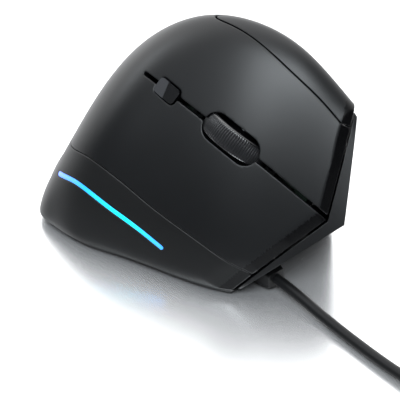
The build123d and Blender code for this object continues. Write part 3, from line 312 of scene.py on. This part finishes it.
class Skin:
    """A triangle mesh in millimetres whose points carry a normal and any numbers laid on them."""

    snap, rim_reach, probe = 0.01, 0.02, 0.02

    def __init__(self, points, normals, faces):
        self.points, self.normals, self.faces, self.marks = points, normals, faces, np.zeros(len(points))

    def part(self):
        return Skin(self.points.copy(), self.normals.copy(), self.faces.copy())

    def cut(self, value):
        """Split every triangle that the marks cross at a value, so that an edge runs along it."""
        marks = self.marks - value
        marks[np.abs(marks) < self.snap] = 0
        signs = np.sign(marks)[self.faces]
        crossed = (signs.min(axis=1) < 0) & (signs.max(axis=1) > 0)
        made, added = {}, []
        points, normals, numbers = [], [], []
        for face in self.faces[crossed]:
            loop = []
            for a, b in ((face[0], face[1]), (face[1], face[2]), (face[2], face[0])):
                loop.append((a, marks[a]))
                if marks[a] * marks[b] < 0:
                    key = (min(a, b), max(a, b))
                    if key not in made:
                        share = marks[key[0]] / (marks[key[0]] - marks[key[1]])
                        made[key] = len(self.points) + len(points)
                        points.append(self.points[key[0]] * (1 - share) + self.points[key[1]] * share)
                        normals.append(self.normals[key[0]] * (1 - share) + self.normals[key[1]] * share)
                        numbers.append(value)
                    loop.append((made[key], 0.0))
            for sign in (1, -1):
                ring = [index for index, mark in loop if mark * sign >= 0]
                added += [(ring[0], ring[i], ring[i + 1]) for i in range(1, len(ring) - 1)]
        if points:
            self.points = np.concatenate([self.points, np.array(points)])
            self.normals = np.concatenate([self.normals, np.array(normals)])
            self.normals /= np.linalg.norm(self.normals, axis=1)[:, None]
            self.marks = np.concatenate([self.marks, np.array(numbers)])
            self.faces = np.concatenate([self.faces[~crossed], np.array(added)])

    def lay(self, field):
        """Mark each point with a field turned into distance along the surface."""
        value = field(self.points)
        slope = np.stack([(field(self.points + shift) - value) / self.probe
                          for shift in np.eye(3) * self.probe], axis=1)
        slope -= self.normals * (slope * self.normals).sum(axis=1)[:, None]
        self.marks = value / np.clip(np.linalg.norm(slope, axis=1), 0.3, 3.0)

    def keep(self, value=0.0):
        """Drop the triangles that lie below a value of the marks, and the points that none uses."""
        middle = self.marks[self.faces].mean(axis=1)
        self.faces = self.faces[middle > value]
        used = np.unique(self.faces)
        fresh = np.full(len(self.points), -1)
        fresh[used] = np.arange(len(used))
        self.faces = fresh[self.faces]
        self.points, self.normals, self.marks = self.points[used], self.normals[used], self.marks[used]

    def roll(self, radius, wall):
        """Round the edge over from the marks' zero, then carry it down as a wall."""
        inside = np.clip(radius - self.marks, 0, radius)
        drop = radius - np.sqrt(np.maximum(radius ** 2 - inside ** 2, 0))
        edges = np.concatenate([self.faces[:, [0, 1]], self.faces[:, [1, 2]], self.faces[:, [2, 0]]])
        _, first, times = np.unique(np.sort(edges, axis=1), axis=0, return_index=True, return_counts=True)
        directed = edges[first[times == 1]]
        directed = directed[(np.abs(self.marks[directed]) < self.rim_reach).all(axis=1)]
        self.points = self.points - self.normals * drop[:, None]
        rim = np.unique(directed)
        low = np.full(len(self.points), -1)
        low[rim] = np.arange(len(rim)) + len(self.points)
        self.points = np.concatenate([self.points, self.points[rim] - self.normals[rim] * wall])
        self.normals = np.concatenate([self.normals, self.normals[rim]])
        walls = [(b, a, low[a]) for a, b in directed] + [(b, low[a], low[b]) for a, b in directed]
        if walls:
            self.faces = np.concatenate([self.faces, np.array(walls)])

    def build(self, name, material, slot, body, radius=0.4, wall=1.4, bevel=None):
        """Roll the edges, turn the mesh into an object in metres and hand it to the frame."""
        for share in (0.0, 0.06, 0.2, 0.45, 0.72, 1.0):
            self.cut(radius * share)
        self.keep()
        self.roll(radius, wall)
        made = bpy.data.meshes.new(name)
        made.from_pydata((self.points / 1000).tolist(), [], self.faces.tolist())
        made.validate()
        made.shade_smooth()
        made.materials.append(material)
        if bevel:
            made.materials.append(bevel)
            # Faces ahead of the break take the bevel material, whose darker colour is painted shade.
            middles = self.points[self.faces].mean(axis=1)
            ahead_of_break = np.max([(middles - spot) @ face for spot, face in chevron], axis=0) > 0.05
            made.polygons.foreach_set("material_index", ahead_of_break.astype(np.int32))
        piece = bpy.data.objects.new(name, made)
        bpy.context.scene.collection.objects.link(piece)
        if body:
            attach(piece, body)
        return piece


rows, columns = grid.shape[:2]
normals = np.cross(np.gradient(grid, axis=0), np.gradient(grid, axis=1))
normals /= np.maximum(np.linalg.norm(normals, axis=2)[:, :, None], 1e-9)
if (normals[rows // 2, :, 2]).mean() < 0:
    normals = -normals
index = np.arange(rows * columns).reshape(rows, columns)
quads = np.stack([index[:-1, :-1], index[1:, :-1], index[1:, 1:], index[:-1, 1:]], axis=-1).reshape(-1, 4)
faces = np.concatenate([quads[:, [0, 1, 2]], quads[:, [0, 2, 3]]])
spots, normals = grid.reshape(-1, 3), normals.reshape(-1, 3)
facing = np.cross(spots[faces[:, 1]] - spots[faces[:, 0]], spots[faces[:, 2]] - spots[faces[:, 0]])
if (facing * normals[faces[:, 0]]).sum() < 0:
    faces = faces[:, ::-1]
skin = Skin(spots, normals, faces)


def unit(direction):
    direction = np.array(direction, float)
    return direction / np.linalg.norm(direction)


def real(shares):
    return np.array(shares) * (width, length, height)


def plane_normal(first, second, sweep):
    normal = unit(np.cross(second - first, sweep))
    return normal if normal[1] > 0 else -normal


bevel_run, bevel_drop = 3.3, 1.5
upper_sweep = np.array([-math.cos(math.radians(32)), -math.sin(math.radians(32)), 0])
lower_sweep = np.array([-math.cos(math.radians(-10)), -math.sin(math.radians(-10)), 0])
upper_break = [real(spot) for spot in [(0.032, 0.431, 0.405), (-0.091, 0.419, 0.563), (-0.221, 0.400, 0.711)]]
lower_break = [real(spot) for spot in [(0.032, 0.431, 0.405), (0.169, 0.374, 0.297), (0.287, 0.313, 0.188),
                                       (0.373, 0.238, 0.041)]]
panel_normal = unit(np.cross(upper_break[-1] - upper_break[0], lower_break[-1] - upper_break[0]))
panel_normal = panel_normal if panel_normal[0] > 0 else -panel_normal
bevels, chevron = [], []
for broken, sweep in ((upper_break, upper_sweep), (lower_break, lower_sweep)):
    rim = plane_normal(broken[0], broken[-1], sweep)
    chevron.append((broken[0], rim))
    slope = rim * bevel_run - panel_normal * bevel_drop
    for first, second in zip(broken, broken[1:]):
        face = unit(np.cross(second - first, slope))
        bevels.append((first, face if face @ panel_normal > 0 else -face))
nose = real((-0.012, 0.501, 0.362))
front_faces = [(nose, plane_normal(nose, real((-0.303, 0.426, 0.757)), upper_sweep)),
               (nose, plane_normal(nose, real((0.341, 0.267, 0.0)), lower_sweep))]


def over_bevel(points):
    """How far a point stands out past the sloping bevels, measured square to the panel."""
    return np.max([(points - spot) @ face / (face @ panel_normal) for spot, face in bevels], axis=0)


def behind_chevron(points):
    return np.min([bevel_run - (points - spot) @ face for spot, face in chevron]
                  + [-((points - spot) @ face) for spot, face in front_faces], axis=0)


soft, soft_core = 0.35, 0.12
skin.marks = over_bevel(skin.points)
for value in (-soft, -soft_core, soft_core, soft):
    skin.cut(value)
past = over_bevel(skin.points)
lowered = np.where(past > soft, past, np.clip(past + soft, 0, None) ** 2 / (4 * soft))
skin.points = skin.points - panel_normal * lowered[:, None]


line_points = 90
far_off = 1e9


def seam_line(shares):
    spots = np.array(shares) * (length, height)
    run = np.concatenate([[0], np.cumsum(np.linalg.norm(np.diff(spots, axis=0), axis=1))])
    return smooth_through(run, spots, np.linspace(0, run[-1], line_points))


def line_distance(line, spots):
    best = np.full(len(spots), far_off)
    for a, b in zip(line, line[1:]):
        along = np.clip(((spots - a) @ (b - a)) / ((b - a) @ (b - a)), 0, 1)
        best = np.minimum(best, np.linalg.norm(spots - a - along[:, None] * (b - a), axis=1))
    return best


ridge_line = seam_line([(-0.050, 0.976), (0.026, 0.981), (0.152, 0.946), (0.269, 0.859), (0.347, 0.776),
                        (0.400, 0.711), (0.525, 0.570)])
skirt_line = seam_line([(-0.551, 0.310), (-0.427, 0.335), (-0.329, 0.372), (-0.246, 0.406), (-0.147, 0.384),
                        (-0.003, 0.308), (0.169, 0.228), (0.290, 0.151), (0.452, 0.050)])
back_line = seam_line([(-0.050, 1.060), (-0.075, 0.800), (-0.148, 0.450), (-0.262, 0.200), (-0.324, -0.100)])


def under(line, points):
    spots = points[:, 1:]
    return line_distance(line, spots) * np.sign(np.interp(spots[:, 0], line[:, 0], line[:, 1]) - spots[:, 1])


crest_share, front_share = 0.295, -0.050


def in_covers(points):
    """Positive on the part of the skin that the panel and the skirt take."""
    split = points[:, 0] + crest_share * width
    behind = front_share * length - points[:, 1]
    back_side = line_distance(back_line, points[:, 1:])
    back_side *= np.sign(np.interp(points[:, 2], back_line[::-1, 1], back_line[::-1, 0]) - points[:, 1])
    over_ridge = np.minimum(under(ridge_line, points), split)
    return np.max([over_ridge, np.minimum(behind, split), back_side], axis=0)


thumb_holes = [((0.242 * length, 0.742 * height), -24.0), ((0.077 * length, 0.797 * height), -8.0)]
hole_half_length, hole_half_height, hole_corner, hole_gap = 8.5, 3.2, 2.4, 0.35


def thumb_clear(points):
    """Distance outside the two thumb buttons' openings."""
    best = np.full(len(points), far_off)
    for (y, z), tilt in thumb_holes:
        turn = math.radians(tilt)
        run = (points[:, 1] - y) * math.cos(turn) + (points[:, 2] - z) * math.sin(turn)
        lift = (points[:, 2] - z) * math.cos(turn) - (points[:, 1] - y) * math.sin(turn)
        aside = np.stack([np.abs(run) - hole_half_length + hole_corner,
                          np.abs(lift) - hole_half_height + hole_corner], axis=1)
        gap = np.linalg.norm(np.clip(aside, 0, None), axis=1) + np.minimum(aside.max(axis=1), 0)
        gap = gap - hole_corner - hole_gap
        best = np.minimum(best, np.where(points[:, 0] < -crest_share * width, gap, far_off))
    return best


satin_black = moulded("upper_plastic", (0.0032, 0.0036, 0.0044), 0.36, grain=0.00022, depth=0.08, cloud=0.05)
# The bevel's copy of the plastic is glossier, and its darker colour is painted shade, for a bevel facing away
# from the light.
bevel_painted_shade = moulded("upper_bevel", (0.0022, 0.0022, 0.0026), 0.24, grain=0.00022, depth=0.04, cloud=0.05)
seam_gap, cover_foot, edge_radius = 0.12, 2.8, 0.3
thumb_shell = skin.part()
thumb_shell.lay(lambda p: np.min([-in_covers(p) - seam_gap, behind_chevron(p), p[:, 2] - cover_foot,
                                  thumb_clear(p)], axis=0))
thumb_piece = thumb_shell.build("thumb_cover", satin_black, "upper_plastic", "root", radius=edge_radius,
                                bevel=bevel_painted_shade)
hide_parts("thumb_shell")

# Palm and keys
# The finger side is one smooth black moulding, with no seam between palm and keys: each key is the
# panel's own tongue beside the slot, built as a fixed half of the panel. The wheel and the slot button
# have openings in it.
wheel_place = real((0.086, 0.159, 0.634))
fall = math.radians(20.5)


def flank(rise):
    """The direction square to the flank where it leans back by an angle."""
    return np.array([math.cos(rise), math.sin(rise) * math.sin(fall), math.sin(rise) * math.cos(fall)])


forward = np.array([0, math.cos(fall), -math.sin(fall)])
outward = flank(math.radians(36.5))
upward = np.cross(outward, forward)
slot_up = np.cross(flank(math.radians(50.0)), forward)
button_tilt = math.radians(-9.0)
button_forward = forward * math.cos(button_tilt) - outward * math.sin(button_tilt)
slot_back, slot_half = -37.7, 0.66
wheel_opening = (21.6, 9.6, 4.8)
button_opening = (9.3, 6.1, 1.65)
button_back, button_low = -27.0, 1.0


def rounded_gap(run, lift, long, high, corner):
    """Distance outside a rounded rectangle."""
    aside = np.stack([np.abs(run) - long / 2 + corner, np.abs(lift) - high / 2 + corner], axis=1)
    return np.linalg.norm(np.clip(aside, 0, None), axis=1) + np.minimum(aside.max(axis=1), 0) - corner


def panel_clear(points):
    """Distance outside the slot, the wheel's opening and the slot button's opening."""
    local = points - wheel_place
    run, lift = local @ forward, local @ upward
    behind_slot = np.clip(slot_back + slot_half - run, 0, None)
    slot = np.hypot(behind_slot, local @ slot_up) - slot_half
    wheel_hole = rounded_gap(run, lift, *wheel_opening)
    button_hole = rounded_gap(local @ button_forward - button_back, lift + button_low, *button_opening)
    return np.min([slot, wheel_hole, button_hole], axis=0)


panel = skin.part()
panel.marks = (panel.points - wheel_place) @ slot_up
panel.cut(0.0)
skirt_gap, slot_wall, hinge_low = 0.15, 2.6, 2.0
for name, side, key in (("upper_panel", 1, "left"), ("lower_panel", -1, "right")):
    half = panel.part()
    half.marks = (half.points - wheel_place) @ slot_up * side
    half.keep()
    half.lay(lambda p: np.min([in_covers(p), -under(skirt_line, p) - skirt_gap, behind_chevron(p),
                               panel_clear(p), p[:, 2] - cover_foot], axis=0))
    piece = half.build(name, satin_black, "upper_plastic", None, radius=edge_radius, wall=slot_wall,
                       bevel=bevel_painted_shade)
    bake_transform(piece)
    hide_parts(key + "_key", "palm_cover")

# Side skirt
# The lower cover on the finger side, a darker and slightly rougher moulding below the long seam. It
# holds the lit strip and wraps round the heel.
strip_line = seam_line([(-0.334, 0.262), (-0.251, 0.294), (-0.119, 0.246), (-0.015, 0.194), (0.059, 0.152)])
strip_groove_half, other_side = 0.66, 1e3
dark_satin = moulded("lower_plastic", (0.0030, 0.0032, 0.0036), 0.40, grain=0.00022, depth=0.08, cloud=0.05)


def strip_away(points):
    """Distance from the strip's middle line, on the finger side only."""
    return np.where(points[:, 0] > 0, line_distance(strip_line, points[:, 1:]), other_side)


skirt = skin.part()
skirt.lay(lambda p: np.min([in_covers(p), under(skirt_line, p), behind_chevron(p), p[:, 2] - cover_foot,
                            strip_away(p) - strip_groove_half], axis=0))
skirt_piece = skirt.build("skirt_cover", dark_satin, "lower_plastic", "root", radius=edge_radius,
                          bevel=bevel_painted_shade)
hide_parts("side_skirt")

# Lit strip
# A clear light guide let flush into the skirt, lit from behind: violet-blue at its rear end, cyan past
# its middle and blue at its front end. It is moulded with a softly rounded face.
glow = bpy.data.materials.new("strip_light")
glow.use_nodes = True
tree = glow.node_tree
lit = tree.nodes["Principled BSDF"]
place = tree.nodes.new("ShaderNodeTexCoord")
split = tree.nodes.new("ShaderNodeSeparateXYZ")
span = tree.nodes.new("ShaderNodeMapRange")
span.inputs["From Min"].default_value = -0.0385
span.inputs["From Max"].default_value = 0.0075
ramp = tree.nodes.new("ShaderNodeValToRGB")
ramp.color_ramp.elements[0].color = (0.16, 0.28, 1.0, 1)
ramp.color_ramp.elements[1].color = (0.05, 0.34, 1.0, 1)
for position, colour in ((0.30, (0.02, 0.36, 1.0, 1)), (0.66, (0.004, 0.72, 1.0, 1)),
                         (0.88, (0.02, 0.42, 1.0, 1))):
    ramp.color_ramp.elements.new(position).color = colour
tree.links.new(place.outputs["Object"], split.inputs["Vector"])
tree.links.new(split.outputs["Y"], span.inputs["Value"])
tree.links.new(span.outputs["Result"], ramp.inputs["Fac"])
tree.links.new(ramp.outputs["Color"], lit.inputs["Emission Color"])
tree.links.new(ramp.outputs["Color"], lit.inputs["Base Color"])
lit.inputs["Emission Strength"].default_value = 1.0
lit.inputs["Roughness"].default_value = 0.3
strip_half = 0.62
strip = skin.part()
strip.lay(lambda p: strip_half - strip_away(p))
strip_piece = strip.build("strip_light", glow, "strip_clear", "root", radius=0.22, wall=1.0)
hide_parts("light_guide")

# Front cap
# The hollow cap that closes the front in two faces that meet at the nose. It is moulded in the same
# black plastic as the shells and set a little below them.
cap_black = moulded("front_plastic", (0.0070, 0.0072, 0.0080), 0.36, grain=0.0003, depth=0.08,
                    rounding=0.00035)
dress("front_bezel", cap_black)

# Base and skates
# The base plate is a plain black moulding, set back under the shells so that it shows as a dark band.
# Two low-friction pads with a waxy dull face are glued into its seats.
band_black = moulded("band_plastic", (0.0035, 0.0035, 0.004), 0.45, grain=0.0003, depth=0.10, rounding=0.0002)
waxy = moulded("skate_ptfe", (0.045, 0.045, 0.048), 0.55, grain=0.0006, depth=0.05, cloud=0.008,
               rounding=0.0003)
dress("base_plate", band_black)
dress("front_skate", waxy)
dress("rear_skate", waxy)

# Scroll wheel
# A barrel-shaped rubber tyre with fine ribs across it, moulded over a glossy hub that turns on a thin
# steel axle in a sprung carrier. Its shoulders are smooth and catch the light on both sides.
half_profile = [(3.6, 1.3), (3.6, 4.0), (3.1, 4.4), (3.1, 10.2), (3.6, 10.6), (3.62, 11.2), (3.52, 11.65),
                (3.25, 11.98), (2.85, 12.18), (2.3, 12.29), (1.4, 12.42), (0.5, 12.49)]
profile = [(-across, radius) for across, radius in half_profile] + half_profile[::-1]
ribs = 90
groove_depths = (0.34, 0.14, 0.0, 0.0, 0.14, 0.34)
ribbed_half, rib_fade, rib_foot, hub_sink = 2.9, 0.6, 11, -9.0
turns = ribs * len(groove_depths)
hub_centre = wheel_place + outward * hub_sink
ring = []
for turn in range(turns):
    angle = 2 * math.pi * turn / turns
    groove = groove_depths[turn % len(groove_depths)]
    spoke = forward * math.cos(angle) + outward * math.sin(angle)
    for across, radius in profile:
        share = min(1.0, max(0.0, (ribbed_half - abs(across)) / rib_fade))
        depth = groove * share if radius > rib_foot else 0.0
        ring.append((hub_centre + upward * across + spoke * (radius - depth)) / 1000)
width_count = len(profile)
quads = [(turn * width_count + i, turn * width_count + i + 1,
          ((turn + 1) % turns) * width_count + i + 1, ((turn + 1) % turns) * width_count + i)
         for turn in range(turns) for i in range(width_count - 1)]
barrel_mesh = bpy.data.meshes.new("wheel_barrel")
barrel_mesh.from_pydata([tuple(spot) for spot in ring], [], quads)
barrel_mesh.validate()
barrel_mesh.shade_smooth()
rubber = moulded("tyre_rubber", (0.014, 0.014, 0.0155), 0.30, grain=0.0003, depth=0.10, cloud=0.01)
gloss = moulded("wheel_gloss", (0.006, 0.006, 0.007), 0.10, grain=0.0004, depth=0.01, cloud=0.01, coat=1.0)
barrel_mesh.materials.append(rubber)
barrel_mesh.materials.append(gloss)
smooth_rows = 8
for polygon in barrel_mesh.polygons:
    row = polygon.index % (width_count - 1)
    polygon.material_index = 1 if min(row, width_count - 2 - row) < smooth_rows else 0
barrel = bpy.data.objects.new("wheel_barrel", barrel_mesh)
bpy.context.scene.collection.objects.link(barrel)
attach(barrel, "wheel")
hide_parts("wheel_tyre", "wheel_hub")
black_inner = moulded("inner_plastic", (0.0012, 0.0012, 0.0014), 0.6, grain=0.0004, depth=0.12,
                      rounding=0.0002, shine=0.08)
dress("wheel_carrier", black_inner)
dress("key_frame", black_inner)

# Slot button and thumb buttons
# Small glossy black caps, moulded in one piece each. The slot button has two flat faces that meet in a
# low ridge across its middle. Its rear face is a lighter grey here, as the photograph shows it lit.
cap_gloss = moulded("button_plastic", (0.005, 0.005, 0.006), 0.20, grain=0.0003, depth=0.04, rounding=0.0004)
for name in ("forward_button", "back_button"):
    dress(name, cap_gloss)
ridged = moulded("ridged_plastic", (0.0035, 0.0035, 0.004), 0.22, grain=0.0003, depth=0.04)
tree = ridged.node_tree
place = tree.nodes.new("ShaderNodeTexCoord")
along = tree.nodes.new("ShaderNodeVectorMath")
along.operation = "DOT_PRODUCT"
across_ridge = unit(forward + upward * 0.25)
along.inputs[1].default_value = tuple(across_ridge)
rear = tree.nodes.new("ShaderNodeMapRange")
ridge_back, ridge_blur = -27.3, 0.0002
ridge = float(((wheel_place + forward * ridge_back - upward * button_low) / 1000) @ across_ridge)
rear.inputs["From Min"].default_value = ridge + ridge_blur
rear.inputs["From Max"].default_value = ridge - ridge_blur
facet = tree.nodes.new("ShaderNodeMix")
facet.data_type = "RGBA"
facet.inputs["A"].default_value = (0.0035, 0.0035, 0.004, 1)
facet.inputs["B"].default_value = (0.042, 0.043, 0.047, 1)
tree.links.new(place.outputs["Object"], along.inputs[0])
tree.links.new(along.outputs["Value"], rear.inputs["Value"])
tree.links.new(rear.outputs["Result"], facet.inputs["Factor"])
tree.links.new(facet.outputs["Result"], tree.nodes["Principled BSDF"].inputs["Base Color"])
dress("dpi_button", ridged)

# Boot, tie and plug
# The boot is a boxy sleeve of soft black plastic over the cable's exit. The plug is a moulded grip
# round a folded, nickel-plated shell with a black contact tongue.
boot_black = moulded("boot_plastic", (0.0045, 0.0045, 0.005), 0.40, grain=0.0004, depth=0.12, rounding=0.0003)
dress("strain_relief", boot_black)
dress("usb_grip", jacket)
dress("cable_tie", rubber)
dress("usb_tongue", black_inner)
nickel = moulded("plug_metal", (0.62, 0.61, 0.58), 0.24, grain=0.0002, depth=0.03, cloud=0.006, shade=0.04,
                 rounding=0.0001)
nickel.node_tree.nodes["Principled BSDF"].inputs["Metallic"].default_value = 1.0
dress("usb_shell", nickel)

# Boards and switches inside
# Green boards, black switches, white sockets and lamps, a clear lens and plated screws, all fixed under
# the shells. One insulated lead runs in from the boot, another joins the slanted and the main board.
green = moulded("board_green", (0.002, 0.020, 0.008), 0.45, grain=0.0008, depth=0.05, cloud=0.01, shine=0.2)
switch_black = moulded("switch_black", (0.018, 0.018, 0.018), 0.48, grain=0.0003, depth=0.08, rounding=0.0002)
white = moulded("socket_white", (0.60, 0.59, 0.55), 0.45, grain=0.0003, depth=0.05, shade=0.04,
                rounding=0.0002)
plated = moulded("steel", (0.56, 0.56, 0.58), 0.28, grain=0.0002, depth=0.05, cloud=0.004, shade=0.05,
                 rounding=0.0001)
plated.node_tree.nodes["Principled BSDF"].inputs["Metallic"].default_value = 1.0
clear = moulded("lens_clear", (0.85, 0.92, 0.92), 0.10, grain=0.0004, depth=0.01, shade=0.02)
clear.node_tree.nodes["Principled BSDF"].inputs["Transmission Weight"].default_value = 0.9
for material, names in (
        (green, ("key_board", "thumb_board", "main_board", "light_board")),
        (switch_black, ("key_switches", "wheel_encoder", "middle_switch", "dpi_switch", "thumb_switches",
                        "sensor_chip")),
        (white, ("cable_socket", "strip_leds", "harness_plugs")),
        (plated, ("wheel_axle", "board_screws", "base_screws")),
        (clear, ("sensor_lens",)),
        (jacket, ("inner_lead", "harness"))):
    for name in names:
        dress(name, material)
